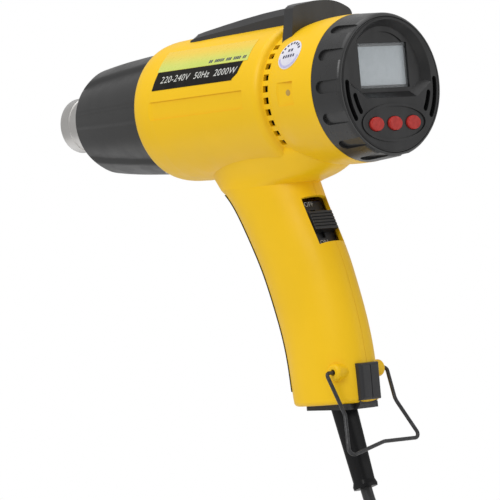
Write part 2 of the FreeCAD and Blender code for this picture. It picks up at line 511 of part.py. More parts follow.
# curved air slots beside the buttons
def arc_slot(side, y0, z0, y1, z1, R, w):
    c0, c1 = V(-2, side * y0, z0), V(-2, side * y1, z1)
    m = (c0 + c1) * 0.5
    out = V(0, m.y, m.z); out.normalize()
    half = (c1 - c0).Length / 2
    sag = R - math.sqrt(R * R - half * half)
    mid = m + out * sag
    cen = mid - out * R
    def off(p, d):
        u = (p - cen); u.normalize()
        return p + u * d
    h = w / 2
    e = [Part.Arc(off(c0, h), off(mid, h), off(c1, h)).toShape()]
    t1 = V(0, 0, 0) + (c1 - c0); t1.normalize()
    e.append(Part.Arc(off(c1, h), c1 + t1 * h, off(c1, -h)).toShape())
    e.append(Part.Arc(off(c1, -h), off(mid, -h), off(c0, -h)).toShape())
    e.append(Part.Arc(off(c0, -h), c0 - t1 * h, off(c0, h)).toShape())
    return Part.Face(Part.Wire(e)).extrude(V(10, 0, 0))


for side in (1, -1):
    plate = plate.cut(arc_slot(side, 35.8, 2.2, 31.0, -18.6, 38.0, 3.2))
    plate = plate.cut(arc_slot(side, 30.2, -5.6, 26.6, -14.8, 38.0, 3.2))
NODES["rear_panel"] = clean(plate)

NODES["display_lens"] = box(6.35, 7.35, -23.5, 23.5, -4.6, 28.2).common(cyl(31.0, (0, 0, 4.0), X, 30))
NODES["display_module"] = box(7.6, 10.6, -22.6, 22.6, -4.4, 27.2)
pcb = cyl(33.5, (12.6, 0, 0), X, 1.6)
for a in (45, 135, 225, 315):
    pcb = pcb.cut(cyl(1.6, (10, 29.5 * math.cos(math.radians(a)), 29.5 * math.sin(math.radians(a))), X, 6))
NODES["control_board"] = pcb
comp = [box(14.4, 20.0, -18, -8, -16, -4), box(14.4, 17.0, 2, 14, 4, 16), cyl(4.0, (14.4, 14, -12), X, 9.0), cyl(3.0, (14.4, -14, 12), X, 7.0),
        box(14.4, 22.0, -6, 6, -28, -20), box(14.4, 16.6, -4, 6, -10, -2)]
NODES["board_components"] = Part.makeCompound(comp)
NODES["button_board"] = box(9.0, 10.2, -23.0, 23.0, -29.0, -16.5).common(cyl(34.6, (5, 0, 0), X, 10))
tacts = []
for k in (-1, 0, 1):
    tacts.append(box(7.0, 8.8, k * BTN_PITCH - 3.0, k * BTN_PITCH + 3.0, BTN_Z - 3.0, BTN_Z + 3.0).fuse(cyl(1.6, (6.3, k * BTN_PITCH, BTN_Z), X, 1.0)))
NODES["tact_switches"] = Part.makeCompound(tacts)
for k, nm in ((1, "button_left"), (0, "button_middle"), (-1, "button_right")):
    b = oval_prism(BTN_RY, BTN_RZ, BTN_Z, -1.5, 3.7)
    b = b.makeFillet(0.9, [e for e in b.Edges if abs(e.BoundBox.XMin + 1.5) < 0.01 and abs(e.BoundBox.XMax + 1.5) < 0.01])
    b = b.fuse(oval_prism(BTN_RY + 1.2, BTN_RZ + 1.2, BTN_Z, 3.55, 4.5)).fuse(cyl(1.6, (4.3, 0, BTN_Z), X, 0.7))
    b.translate(V(0, k * BTN_PITCH, 0))
    NODES[nm] = clean(b)

# ================================================================ switch
plate_top = -SW_DEPTH
sw_plate = frame_box(SW_O, SW_T, Y, SW_N, SW_HALF_LEN - 0.25, SW_HALF_W - 0.25, plate_top - 1.4, plate_top)
sw_slot = frame_box(SW_O, SW_T, Y, SW_N, 3.2 + SW_TRAVEL, 2.2, plate_top - 3, plate_top + 1)
NODES["switch_plate"] = sw_plate.cut(sw_slot)
body_lo = plate_top - 15.5
sw_body = frame_box(SW_O, SW_T, Y, SW_N, 13.2, 7.6, body_lo, plate_top - 2.1)
sw_body = sw_body.cut(frame_box(SW_O, SW_T, Y, SW_N, 3.4 + SW_TRAVEL, 2.4, plate_top - 6.5, plate_top))
for s_ in (-7.5, 0, 7.5):
    sw_body = sw_body.fuse(frame_box(SW_O + SW_T * s_, SW_T, Y, SW_N, 0.4, 2.4, body_lo - 5.0, body_lo + 0.2))
NODES["switch_body"] = clean(sw_body)
knob = frame_box(SW_O, SW_T, Y, SW_N, KNOB_HALF, KNOB_HALF_W, plate_top + 0.35, KNOB_TOP)
try:
    knob = knob.makeFillet(0.6, [e for e in knob.Edges if (e.CenterOfMass - SW_O).dot(SW_N) > KNOB_TOP - 0.05])
except Exception:
    pass
for i in range(5):
    s_ = -4.0 + 2.0 * i
    knob = knob.cut(frame_box(SW_O + SW_T * s_, SW_T, Y, SW_N, 0.36, KNOB_HALF_W + 1, KNOB_TOP - 0.8, KNOB_TOP + 1))
knob = knob.fuse(frame_box(SW_O, SW_T, Y, SW_N, 2.8, 1.8, plate_top - 6.0, plate_top + 0.5))
# thin shutter under the plate, so that the slot doesn't show beside the knob
knob = knob.fuse(frame_box(SW_O, SW_T, Y, SW_N, 9.0, 3.0, plate_top - 1.95, plate_top - 1.55))
NODES["switch_knob"] = clean(knob)

# ================================================================ power electronics and wiring
NODES["power_board"] = box(96.0, 114.0, -0.8, 0.8, -90.0, -58.0)
NODES["power_components"] = Part.makeCompound([box(98, 104, 1.0, 9.0, -72, -62), box(105, 112, 1.0, 8.0, -86, -76),
                                               cyl(3.0, (100.5, 1.0, -80), Y, 9.0), box(98, 110, -7.5, -1.0, -84, -66)])

# ================================================================ foot plate with heel block, bail, cord clamp
foot = prism([(46.0, Z_FOOT - 0.05), (81.5, Z_FOOT - 0.05), (81.5, Z_FOOT - 2.7), (46.0, Z_FOOT - 3.6)], "y", -13.5, 13.5)
foot = foot.makeFillet(2.5, [e for e in foot.Edges if abs(abs(e.CenterOfMass.y) - 13.5) < 0.01 and e.BoundBox.ZLength > 2.5])
heel = prism([(37.5, -159.4), (37.5, -181.2), (46.0, -181.2), (46.0, -159.4)], "y", -8.0, 8.0)
heel = heel.makeFillet(2.3, [e for e in heel.Edges if e.BoundBox.XMax < 37.6])
heel = heel.cut(box(37.0, 38.0, -0.25, 0.25, -190, -150))
lip = prism([(41.4, -178.0), (41.6, -183.4), (44.0, -186.1), (60.0, -186.1), (60.0, Z_FOOT - 0.05), (46.0, Z_FOOT - 0.05), (46.0, -178.0)], "y", -7.0, 7.0)
heel = heel.fuse(lip)
foot = foot.fuse(heel)
foot = foot.cut(outer)
foot = foot.cut(frame_box(V(63.0, 0, Z_FOOT - 5), X, Y, Z, 7.9, 7.6, 0, 8))
NODES["foot_plate"] = clean(max(foot.Solids, key=lambda s: s.Volume))

# bail: one bent steel wire with its ends turned into the two bosses
zl, zr = -212.6, -206.2
bp = [(BAIL_X, 15.0, BAIL_Z), (BAIL_X, 25.0, BAIL_Z), (40.2, 21.4, -188.6), (32.4, 28.6, zl), (31.6, 0.0, -206.0),
      (30.2, -29.2, zr), (40.2, -20.8, -182.6), (BAIL_X, -25.0, BAIL_Z), (BAIL_X, -15.0, BAIL_Z)]


def bent_wire(points, r, rb):
    P = [V(*p) for p in points]
    edges, last = [], P[0]
    for i in range(1, len(P) - 1):
        a, b, c = P[i - 1], P[i], P[i + 1]
        u, w = (a - b), (c - b)
        u.normalize(); w.normalize()
        turn = math.pi - math.acos(max(-1, min(1, u.dot(w))))
        t = rb[i - 1] * math.tan(turn / 2)
        p0, p1 = b + u * t, b + w * t
        m = (u + w); m.normalize()
        mid = b + m * (math.hypot(t, rb[i - 1]) - rb[i - 1])
        edges.append(Part.LineSegment(last, p0).toShape())
        edges.append(Part.Arc(p0, mid, p1).toShape())
        last = p1
    edges.append(Part.LineSegment(last, P[-1]).toShape())
    w = Part.Wire(edges)
    prof = Part.Wire([Part.makeCircle(r, P[0], P[1] - P[0])])
    return w.makePipeShell([prof], True, True)


NODES["hanging_bail"] = bent_wire(bp, BAIL_D / 2, [2.2, 9.0, 3.2, 9.0, 3.2, 9.0, 2.2])

# strain relief: rounded square section with a flared end, on an inner flange
bd = BOOT1 - BOOT0
blen = bd.Length
bd.normalize()
bu = Y
bv = bd.cross(bu)


def rsq_wire(o, h, n=3.4, count=32):
    pts = []
    for i in range(count):
        t = 2 * math.pi * i / count
        c, s = math.cos(t), math.sin(t)
        pts.append(o + bu * (h * math.copysign(abs(c) ** (2.0 / n), c)) + bv * (h * math.copysign(abs(s) ** (2.0 / n), s)))
    b = Part.BSplineCurve()
    b.interpolate(Points=pts, PeriodicFlag=True)
    return Part.Wire([b.toShape()])


boot = Part.makeLoft([rsq_wire(BOOT0, 6.6), rsq_wire(BOOT0 + bd * (blen - 2.6), 5.6)], True, True)
boot = boot.fuse(Part.makeLoft([rsq_wire(BOOT0 + bd * (blen - 4.4), 5.62), rsq_wire(BOOT0 + bd * (blen - 1.8), 6.4), rsq_wire(BOOT0 + bd * blen, 6.2)], True, True))
boot = boot.fuse(box(56.05, 70.6, -7.05, 7.05, -182.3, -180.2 + 3.0).common(box(50, 80, -20, 20, -182.3, -177.0)))
boot = boot.fuse(Part.makeLoft([rsq_wire(BOOT0 - bd * 4.5, 6.2), rsq_wire(BOOT0 + bd * 1.0, 6.5)], True, True))
NODES["strain_relief"] = clean(boot)
NODES["cord_clamp"] = fuse([box(57.0, 76.0, -13.0, 13.0, -172.0, -168.8)]).cut(cyl(3.4, (66.0, 0, -176), Z, 10)).cut(cyl(1.6, (66.5, 10.0, -176), Z, 10)).cut(cyl(1.6, (66.5, -10.0, -176), Z, 10))
NODES["clamp_screws"] = Part.makeCompound([fuse([cyl(1.5, (66.5, s * 10.0, -175.0), Z, 7.0), cyl(2.8, (66.5, s * 10.0, -168.7), Z, 1.8)]) for s in (1, -1)])
wires = []
for s, y in ((1, 1.7), (-1, -1.7)):
    wires.append(sweep_tube([(66.0, y, -166.5), (68.0, y * 1.4, -150.0), (73.0, y * 1.8, -128.0), (79.0, y * 1.6, -107.0), (83.0, y * 1.6, -92.5)], 1.1))
NODES["mains_wires"] = Part.makeCompound(wires)

# ================================================================ cord: lead, coil, tail and plug
def heading(alpha, phi):
    a, p = math.radians(alpha), math.radians(phi)
    return V(-math.cos(a) * math.cos(p), -math.cos(a) * math.sin(p), -math.sin(a))


lead = [BOOT1]
for (al, ph), L in (((75.4, 0), 17.0), ((54, 12), 20.0), ((32, 26), 22.0), ((12, 40), 22.0), ((0, 40), 22.0)):
    lead.append(lead[-1] + heading(al, ph) * L)
Z_TOP_TURN = lead[-1].z
BENCH = Z_TOP_TURN - CORD_D * (COIL_LAYERS - 0.5)
ph = math.radians(40)
coil_c = lead[-1] + V(-math.sin(ph), math.cos(ph), 0) * COIL_R_OUT_MID
coil_c = V(coil_c.x, coil_c.y, BENCH)
print("lead points (grip frame, m):", [tuple(round(c / 1000.0, 5) for c in (p.x - GRIP_X, p.y, p.z - GRIP_Z)) for p in lead])
print("coil centre (grip frame, m):", tuple(round(c / 1000.0, 5) for c in (coil_c.x - GRIP_X, coil_c.y, coil_c.z - GRIP_Z)), "bench z", round((BENCH - GRIP_Z) / 1000.0, 5))
NODES["cord_lead"] = sweep_tube([(p.x, p.y, p.z) for p in lead], CORD_D / 2, "cord_lead")
coil_out, coil_in = COIL_R_OUT_MID + CORD_D / 2 + 0.2, COIL_R_IN_MID - CORD_D / 2 - 0.2
coil = tube(coil_out, coil_in, (coil_c.x, coil_c.y, BENCH), Z, CORD_D * COIL_LAYERS)
NODES["cord_coil"] = coil
# tail: leaves the bottom turn heading +X and runs to the plug
t0 = V(coil_c.x + 2.0, coil_c.y + COIL_R_OUT_MID + 0.0, BENCH + CORD_D / 2)
tail = [(t0.x, t0.y, t0.z), (t0.x + 24, t0.y + 2.0, t0.z), (t0.x + 50, t0.y + 0.0, t0.z + 3.5), (t0.x + 72, t0.y - 4.5, t0.z + 7.0)]
tail_s = sweep_tube(tail, CORD_D / 2, "cord_tail")
print("tail points (grip frame, m):", [tuple(round(c / 1000.0, 5) for c in (p[0] - GRIP_X, p[1], p[2] - GRIP_Z)) for p in tail])
NODES["cord_tail"] = tail_s

# generic two-pin plug, lying on the bench
te = V(*tail[-1])
td = te - V(*tail[-2])
td.normalize()
pd = V(td.x, td.y, 0); pd.normalize()
ps = V(-pd.y, pd.x, 0)
pz = te.z


def pl_wire(o, hw, hh, n=3.0, count=28):
    pts = []
    for i in range(count):
        t = 2 * math.pi * i / count
        c, s = math.cos(t), math.sin(t)
        pts.append(o + ps * (hw * math.copysign(abs(c) ** (2.0 / n), c)) + Z * (hh * math.copysign(abs(s) ** (2.0 / n), s)))
    b = Part.BSplineCurve()
    b.interpolate(Points=pts, PeriodicFlag=True)
    return Part.Wire([b.toShape()])


plug = Part.makeLoft([pl_wire(te + V(0, 0, 0), 4.6, 4.6, 2.2), pl_wire(te + pd * 12, 5.4, 5.4, 2.2), pl_wire(te + pd * 19, 11.0, 8.6),
                      pl_wire(te + pd * 31, 16.0, 10.2), pl_wire(te + pd * 40, 16.5, 10.45)], True, False)
NODES["plug_body"] = plug
pins = []
for s in (1, -1):
    p0 = te + pd * 39.8 + ps * (9.5 * s)
    pin = cyl(2.4, p0, pd, 18.0).fuse(Part.makeSphere(2.4, p0 + pd * 18.0))
    pins.append(pin)
NODES["plug_pins"] = Part.makeCompound([p.cut(plug) for p in pins])

# ================================================================ write
total = 0.0
for name, s in NODES.items():
    s = s.copy()
    s.translate(V(-GRIP_X, 0, -GRIP_Z))
    bb = s.BoundBox
    ok = s.isValid() and all(x.isClosed() for x in s.Solids)
    print("%-18s solids %2d vol %9.1f mm3 %s box x %.1f..%.1f y %.1f..%.1f z %.1f..%.1f" % (
        name, len(s.Solids), s.Volume, "ok" if ok else "*** INVALID ***", bb.XMin, bb.XMax, bb.YMin, bb.YMax, bb.ZMin, bb.ZMax))
    s.exportStep("parts/%s.step" % name)
print(len(NODES), "nodes")
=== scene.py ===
import bpy, bmesh, math
from mathutils import Vector, Matrix


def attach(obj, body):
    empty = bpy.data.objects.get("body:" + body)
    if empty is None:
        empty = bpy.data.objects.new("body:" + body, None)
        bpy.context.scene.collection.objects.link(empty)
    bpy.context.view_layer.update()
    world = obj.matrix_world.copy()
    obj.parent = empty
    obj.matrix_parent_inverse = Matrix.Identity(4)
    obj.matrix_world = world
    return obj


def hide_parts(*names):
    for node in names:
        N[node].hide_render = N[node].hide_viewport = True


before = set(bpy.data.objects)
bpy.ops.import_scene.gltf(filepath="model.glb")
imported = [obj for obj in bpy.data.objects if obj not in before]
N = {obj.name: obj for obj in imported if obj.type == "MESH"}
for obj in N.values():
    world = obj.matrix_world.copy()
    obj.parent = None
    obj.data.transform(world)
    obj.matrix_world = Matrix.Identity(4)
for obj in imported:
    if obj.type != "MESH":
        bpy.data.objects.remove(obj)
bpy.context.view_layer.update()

scene = bpy.context.scene


def W(x, y, z):
    """A point of the barrel's work frame (mm) in the row frame (m)."""
    return Vector(((x - 80.0) / 1000.0, y / 1000.0, (z + 112.0) / 1000.0))


def link(o):
    scene.collection.objects.link(o)
    return o


# ------------------------------------------------------------------ camera
cd = bpy.data.cameras.new("camera")
cam = link(bpy.data.objects.new("camera", cd))
cd.sensor_width = 36.0
cd.lens = 302.4
cd.clip_start, cd.clip_end = 0.1, 60.0
R = (-0.68392776, -0.72419439, -0.08823435)
U = (-0.06685102, -0.05822426, 0.99606269)
B = (-0.72648039, 0.68713348, -0.00859195)
L = (-1.78112, 1.73261, 0.00290)
cam.matrix_world = Matrix(((R[0], U[0], B[0], L[0]), (R[1], U[1], B[1], L[1]), (R[2], U[2], B[2], L[2]), (0, 0, 0, 1)))
scene.camera = cam

# ------------------------------------------------------------------ cord
BENCH = -0.19416
CX, CY = -0.12279, -0.00642
CORD_R = 0.0035
lead = [(-0.0299, 0, -0.1208), (-0.03419, 0, -0.13725), (-0.04568, -0.00244, -0.15343), (-0.06245, -0.01062, -0.16509),
        (-0.07894, -0.02446, -0.16966), (-0.09579, -0.0386, -0.16966)]
LAYER = [BENCH + 0.0035 + 0.007 * k for k in range(4)]
OUT, INN = 0.0420, 0.0350
SLOTS = [(OUT, LAYER[3]), (INN, LAYER[3]), (INN, LAYER[2]), (OUT, LAYER[2]), (OUT, LAYER[1]), (INN, LAYER[1]), (INN, LAYER[0]), (OUT, LAYER[0])]
STARTS = [260, 580, 900, 1220, 1540, 1860, 2180]          # angle turned where each change of slot starts
coil = []
STEP = 17.0
n_steps = int(2380 / STEP)
for i in range(1, n_steps + 1):
    turned = i * STEP
    if turned > 2380 - 0.5:
        break
    k = sum(1 for s in STARTS if turned >= s + 40)
    r, z = SLOTS[k]
    if k < 7 and turned > STARTS[k]:
        u = (turned - STARTS[k]) / 40.0
        u = u * u * (3 - 2 * u)
        r2, z2 = SLOTS[k + 1]
        r, z = r + (r2 - r) * u, z + (z2 - z) * u
    a = math.radians(-50.0 - turned)
    rr = r / 0.9945
    coil.append((CX + rr * math.cos(a), CY + rr * math.sin(a), z))
tail = [(-0.12079, 0.03558, -0.19066), (-0.09679, 0.03758, -0.19066), (-0.07079, 0.03558, -0.18716), (-0.04879, 0.03108, -0.18366)]
pts = lead + coil + tail
cv = bpy.data.curves.new("mains_cord", "CURVE")
cv.dimensions = "3D"
sp = cv.splines.new("NURBS")
sp.points.add(len(pts) - 1)
for p, q in zip(sp.points, pts):
    p.co = (q[0], q[1], q[2], 1.0)
    p.radius = CORD_R
sp.order_u = 3
sp.use_endpoint_u = True
sp.resolution_u = 6
cv.bevel_depth = 1.0                 # times the points' radius
cv.bevel_resolution = 6
cv.use_fill_caps = True
cord = link(bpy.data.objects.new("mains_cord", cv))
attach(cord, "housing")
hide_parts("cord_lead", "cord_coil", "cord_tail")


# ------------------------------------------------------------------ materials
class Mat:
    """A Principled material with procedural colour, roughness and surface relief."""

    def __init__(self, name, color, rough=0.45, spec=0.5, metallic=0.0, **sockets):
        self.m = bpy.data.materials.new(name)
        self.m.use_nodes = True
        self.t = self.m.node_tree
        self.n = self.t.nodes
        self.p = next(x for x in self.n if x.type == "BSDF_PRINCIPLED")
        self.out = next(x for x in self.n if x.type == "OUTPUT_MATERIAL")
        self.p.inputs["Base Color"].default_value = (*color, 1)
        self.p.inputs["Roughness"].default_value = rough
        self.p.inputs["Metallic"].default_value = metallic
        self.p.inputs["Specular IOR Level"].default_value = spec
        for k, v in sockets.items():
            self.p.inputs[k.replace("_", " ")].default_value = v
        self.color, self.rough = color, rough
        self.tc = self.n.new("ShaderNodeTexCoord")
        self.normal = None

    def node(self, kind, **props):
        x = self.n.new(kind)
        for k, v in props.items():
            setattr(x, k, v)
        return x

    def link(self, a, b):
        self.t.links.new(a, b)

    def coords(self, scale=(1, 1, 1), loc=(0, 0, 0), rot=(0, 0, 0)):
        mp = self.node("ShaderNodeMapping")
        mp.inputs["Scale"].default_value = scale
        mp.inputs["Location"].default_value = loc
        mp.inputs["Rotation"].default_value = rot
        self.link(self.tc.outputs["Object"], mp.inputs["Vector"])
        return mp.outputs["Vector"]

    def noise(self, scale, detail=2.0, rough=0.5, stretch=(1, 1, 1), rot=(0, 0, 0), distortion=0.0):
        x = self.node("ShaderNodeTexNoise")
        x.inputs["Scale"].default_value = scale
        x.inputs["Detail"].default_value = detail
        x.inputs["Roughness"].default_value = rough
        x.inputs["Distortion"].default_value = distortion
        self.link(self.coords(stretch, rot=rot), x.inputs["Vector"])
        return x.outputs["Fac"]

    def voronoi(self, scale, stretch=(1, 1, 1), feature="F1"):
        x = self.node("ShaderNodeTexVoronoi", feature=feature)
        x.inputs["Scale"].default_value = scale
        self.link(self.coords(stretch), x.inputs["Vector"])
        return x.outputs["Distance"]

    def remap(self, v, a, b, lo=0.3, hi=0.7, smooth=True):
        x = self.node("ShaderNodeMapRange")
        x.interpolation_type = "SMOOTHSTEP" if smooth else "LINEAR"
        x.inputs["From Min"].default_value = lo
        x.inputs["From Max"].default_value = hi
        x.inputs["To Min"].default_value = a
        x.inputs["To Max"].default_value = b
        self.link(v, x.inputs["Value"])
        return x.outputs["Result"]

    def mix(self, fac, a, b):
        x = self.node("ShaderNodeMix", data_type="RGBA")
        for sock, val in ((x.inputs[6], a), (x.inputs[7], b)):
            if isinstance(val, tuple):
                sock.default_value = (*val, 1)
            else:
                self.link(val, sock)
        if isinstance(fac, float):
            x.inputs[0].default_value = fac
        else:
            self.link(fac, x.inputs[0])
        return x.outputs[2]

    def math(self, op, a, b=0.0):
        x = self.node("ShaderNodeMath", operation=op)
        for i, v in enumerate((a, b)):
            if isinstance(v, (int, float)):
                x.inputs[i].default_value = v
            else:
                self.link(v, x.inputs[i])
        return x.outputs[0]

    def axis(self, name):
        if not hasattr(self, "_sep"):
            self._sep = self.node("ShaderNodeSeparateXYZ")
            self.link(self.tc.outputs["Object"], self._sep.inputs[0])
        return self._sep.outputs[name]

    def base(self, sock):
        self.link(sock, self.p.inputs["Base Color"])
        return self

    def roughness(self, sock):
        self.link(sock, self.p.inputs["Roughness"])
        return self

    def bump(self, height, strength, distance):
        x = self.node("ShaderNodeBump")
        x.inputs["Strength"].default_value = strength
        x.inputs["Distance"].default_value = distance
        self.link(height, x.inputs["Height"])
        if self.normal is not None:
            self.link(self.normal, x.inputs["Normal"])
        self.normal = x.outputs["Normal"]
        self.link(self.normal, self.p.inputs["Normal"])
        return self

    def put(self, *objs):
        for o in objs:
            o = N[o] if isinstance(o, str) else o
            o.data.materials.clear()
            o.data.materials.append(self.m)
        return self


def moulded(name, color, rough=0.42, grain=1600.0, relief=0.10, tint=0.06, spec=0.5, dist=0.00006, **kw):
    """Injection-moulded plastic: spark-eroded grain, slow colour drift, uneven gloss and faint handling marks."""
    m = Mat(name, color, rough, spec, **kw)
    dark = tuple(c * (1 - tint) for c in color)
    light = tuple(min(1.0, c * (1 + tint * 0.6)) for c in color)
    slow = m.noise(14.0, 3.0, 0.55)
    m.base(m.mix(m.remap(slow, 0.0, 1.0), dark, light))
    marks = m.noise(95.0, 5.0, 0.65, stretch=(1.0, 1.0, 0.35))
    m.roughness(m.remap(marks, rough - 0.05, rough + 0.07, 0.35, 0.68))
    m.bump(m.noise(grain, 2.0, 0.6), relief, dist)
    m.bump(m.noise(34.0, 1.0), 0.05, 0.0004)
    return m


yellow = moulded("yellow_abs", (0.95, 0.575, 0.008), 0.38, 1500.0, 0.10, 0.035, spec=0.28)
yellow.put("left_shell", "right_shell")
cap_ring = moulded("cap_black", (0.028, 0.028, 0.0285), 0.30, 1300.0, 0.16, 0.10)
cap_ring.put("rear_ring")
face = moulded("face_black", (0.013, 0.013, 0.0135), 0.36, 1500.0, 0.2, 0.08, spec=0.42)
face.put("rear_panel")
guard = moulded("guard_black", (0.036, 0.036, 0.036), 0.36, 1100.0, 0.22, 0.12, dist=0.00009)
guard.put("heat_shield")
rest_m = moulded("rest_grey", (0.032, 0.032, 0.033), 0.38, 1200.0, 0.2, 0.10)
rest_m.put("top_rest")
foot_m = moulded("foot_black", (0.018, 0.018, 0.020), 0.42, 1200.0, 0.22, 0.12)
foot_m.put("foot_plate", "cord_clamp")

# rubber inlay of the grip: fine diamond knurl
rub = Mat("grip_rubber_black", (0.020, 0.020, 0.021), 0.62, 0.4)
rub.base(rub.mix(rub.remap(rub.noise(30.0, 4.0), 0.0, 1.0), (0.016, 0.016, 0.017), (0.030, 0.030, 0.031)))
rub.roughness(rub.remap(rub.noise(160.0, 4.0), 0.54, 0.72))
w1 = rub.node("ShaderNodeTexWave", wave_type="BANDS", bands_direction="DIAGONAL")
w1.inputs["Scale"].default_value = 150.0
rub.link(rub.coords((1, 1, 1)), w1.inputs["Vector"])
w2 = rub.node("ShaderNodeTexWave", wave_type="BANDS", bands_direction="DIAGONAL")
w2.inputs["Scale"].default_value = 150.0
rub.link(rub.coords((1, -1, 1)), w2.inputs["Vector"])
rub.bump(rub.math("MULTIPLY", w1.outputs["Fac"], w2.outputs["Fac"]), 0.55, 0.0004)
rub.bump(rub.noise(1800.0, 2.0), 0.2, 0.00008)
rub.put("front_grip_strip")

# boot: satin PVC
boot_m = moulded("boot_pvc", (0.006, 0.006, 0.0065), 0.34, 900.0, 0.25, 0.12, spec=0.18)
boot_m.put("strain_relief")
plug_m = moulded("plug_pvc", (0.022, 0.022, 0.023), 0.44, 800.0, 0.3, 0.10)
plug_m.put("plug_body")

cord_m = Mat("cord_pvc", (0.018, 0.018, 0.019), 0.38, 0.5)
cord_m.base(cord_m.mix(cord_m.remap(cord_m.noise(60.0, 4.0), 0.0, 1.0), (0.014, 0.014, 0.015), (0.026, 0.026, 0.027)))
cord_m.roughness(cord_m.remap(cord_m.noise(220.0, 4.0), 0.32, 0.50))
cord_m.bump(cord_m.noise(900.0, 3.0), 0.3, 0.00008)
cord.data.materials.append(cord_m.m)

red = Mat("key_red", (0.50, 0.030, 0.024), 0.34, 0.3)
red.base(red.mix(red.remap(red.noise(420.0, 3.0), 0.0, 1.0), (0.45, 0.024, 0.019), (0.55, 0.038, 0.030)))
red.roughness(red.remap(red.noise(600.0, 3.0), 0.28, 0.42))
red.bump(red.noise(2200.0, 2.0), 0.15, 0.00005)
red.put("button_left", "button_middle", "button_right")

knob_m = moulded("switch_black", (0.018, 0.018, 0.019), 0.36, 1700.0, 0.15, 0.10)
knob_m.put("switch_knob")
swp = moulded("switch_plate_black", (0.022, 0.022, 0.024), 0.44, 1500.0, 0.2, 0.10)
swp.put("switch_plate", "switch_body")

# nozzle: turned stainless, fine hoop lines and faint staining
steel = Mat("nozzle_stainless", (0.62, 0.60, 0.58), 0.30, 0.5, 1.0)
hoop = steel.noise(26.0, 4.0, 0.6, stretch=(42.0, 0.4, 0.4))
steel.base(steel.mix(steel.remap(steel.noise(45.0, 4.0), 0.0, 1.0, 0.35, 0.7), (0.60, 0.585, 0.565), (0.70, 0.69, 0.68)))
steel.roughness(steel.remap(hoop, 0.27, 0.43))
steel.bump(hoop, 0.25, 0.00006)
steel.put("nozzle_tube")

wire_m = Mat("bail_black_wire", (0.030, 0.030, 0.032), 0.34, 0.5, 0.0)
wire_m.base(wire_m.mix(wire_m.remap(wire_m.noise(500.0, 4.0), 0.0, 1.0, 0.45, 0.75), (0.024, 0.024, 0.026), (0.052, 0.052, 0.055)))
wire_m.roughness(wire_m.remap(wire_m.noise(300.0, 3.0), 0.26, 0.44))
wire_m.bump(wire_m.noise(1400.0, 2.0), 0.2, 0.00005)
wire_m.put("hanging_bail")

zinc = Mat("screw_zinc", (0.46, 0.45, 0.44), 0.34, 0.5, 1.0)
zinc.base(zinc.mix(zinc.remap(zinc.noise(900.0, 3.0), 0.0, 1.0), (0.40, 0.39, 0.38), (0.56, 0.55, 0.53)))
zinc.roughness(zinc.remap(zinc.noise(700.0, 3.0), 0.26, 0.46))
zinc.put("housing_screws", "shield_screw", "clamp_screws")
plugs = moulded("recess_plug_tan", (0.52, 0.33, 0.07), 0.5, 1500.0, 0.2, 0.08)
plugs.put("recess_plugs")

# printed films
blk = Mat("label_black_film", (0.012, 0.011, 0.010), 0.30, 0.12)
blk.base(blk.mix(blk.remap(blk.noise(120.0, 3.0), 0.0, 1.0), (0.010, 0.009, 0.008), (0.018, 0.016, 0.014)))
blk.roughness(blk.remap(blk.noise(260.0, 4.0), 0.30, 0.42))
blk.bump(blk.noise(60.0, 2.0), 0.10, 0.0002)
blk.put("rating_label")

lime = Mat("label_lime_film", (0.62, 0.68, 0.13), 0.30, 0.5)
# the print fades from lime beside the black strip to the housing's yellow along its upper edge
ang = lime.math("ARCTAN2", lime.math("SUBTRACT", lime.axis("Z"), 0.112), lime.axis("Y"))
fade = lime.remap(ang, 0.0, 1.0, math.radians(34.0), math.radians(52.0))
lime_c = lime.mix(lime.remap(lime.noise(40.0, 3.0), 0.0, 1.0), (0.58, 0.68, 0.13), (0.66, 0.72, 0.16))
lime.base(lime.mix(fade, lime_c, (0.88, 0.60, 0.055)))
lime.roughness(lime.remap(lime.noise(260.0, 4.0), 0.24, 0.38))
lime.bump(lime.noise(60.0, 2.0), 0.08, 0.0002)
lime.put("title_label")

stk = Mat("sticker_white_film", (0.74, 0.72, 0.82), 0.32, 0.5)
stk.base(stk.mix(stk.remap(stk.noise(90.0, 3.0), 0.0, 1.0), (0.70, 0.69, 0.79), (0.80, 0.79, 0.86)))
stk.roughness(stk.remap(stk.noise(260.0, 4.0), 0.26, 0.42))
stk.bump(stk.noise(200.0, 2.0), 0.06, 0.0001)
stk.put("round_sticker")

ink = Mat("ink_dark", (0.045, 0.05, 0.10), 0.4, 0.4)
ink.base(ink.mix(ink.remap(ink.noise(900.0, 3.0), 0.0, 1.0), (0.035, 0.04, 0.08), (0.07, 0.07, 0.13)))
ink.roughness(ink.remap(ink.noise(500.0, 3.0), 0.34, 0.5))
inkw = Mat("ink_silver", (0.66, 0.66, 0.62), 0.4, 0.4)
inkw.base(inkw.mix(inkw.remap(inkw.noise(900.0, 3.0), 0.0, 1.0), (0.58, 0.58, 0.54), (0.74, 0.74, 0.70)))
inkw.roughness(inkw.remap(inkw.noise(500.0, 3.0), 0.34, 0.5))

# display: reflective liquid-crystal panel behind a clear window
lcd = Mat("lcd_panel", (0.46, 0.52, 0.56), 0.28, 0.5)
# painted shade: the panel's colour is darker towards its top edge, standing in for the shade cast by the recess rim
# above it
top_shade_mask = lcd.remap(lcd.axis("Z"), 0.0, 1.0, 0.108, 0.138)
painted_shade_tone = lcd.mix(top_shade_mask, (0.62, 0.67, 0.705), (0.52, 0.575, 0.61))
grid = lcd.math("MULTIPLY", lcd.remap(lcd.math("ABSOLUTE", lcd.math("SINE", lcd.math("MULTIPLY", lcd.axis("Y"), 9000.0))), 0.94, 1.0, 0.0, 0.25),
                lcd.remap(lcd.math("ABSOLUTE", lcd.math("SINE", lcd.math("MULTIPLY", lcd.axis("Z"), 9000.0))), 0.94, 1.0, 0.0, 0.25))
mul = lcd.node("ShaderNodeVectorMath", operation="SCALE")
lcd.link(painted_shade_tone, mul.inputs[0])
lcd.link(grid, mul.inputs["Scale"])
lcd.base(mul.outputs[0])
lcd.roughness(lcd.remap(lcd.noise(150.0, 3.0), 0.22, 0.34))
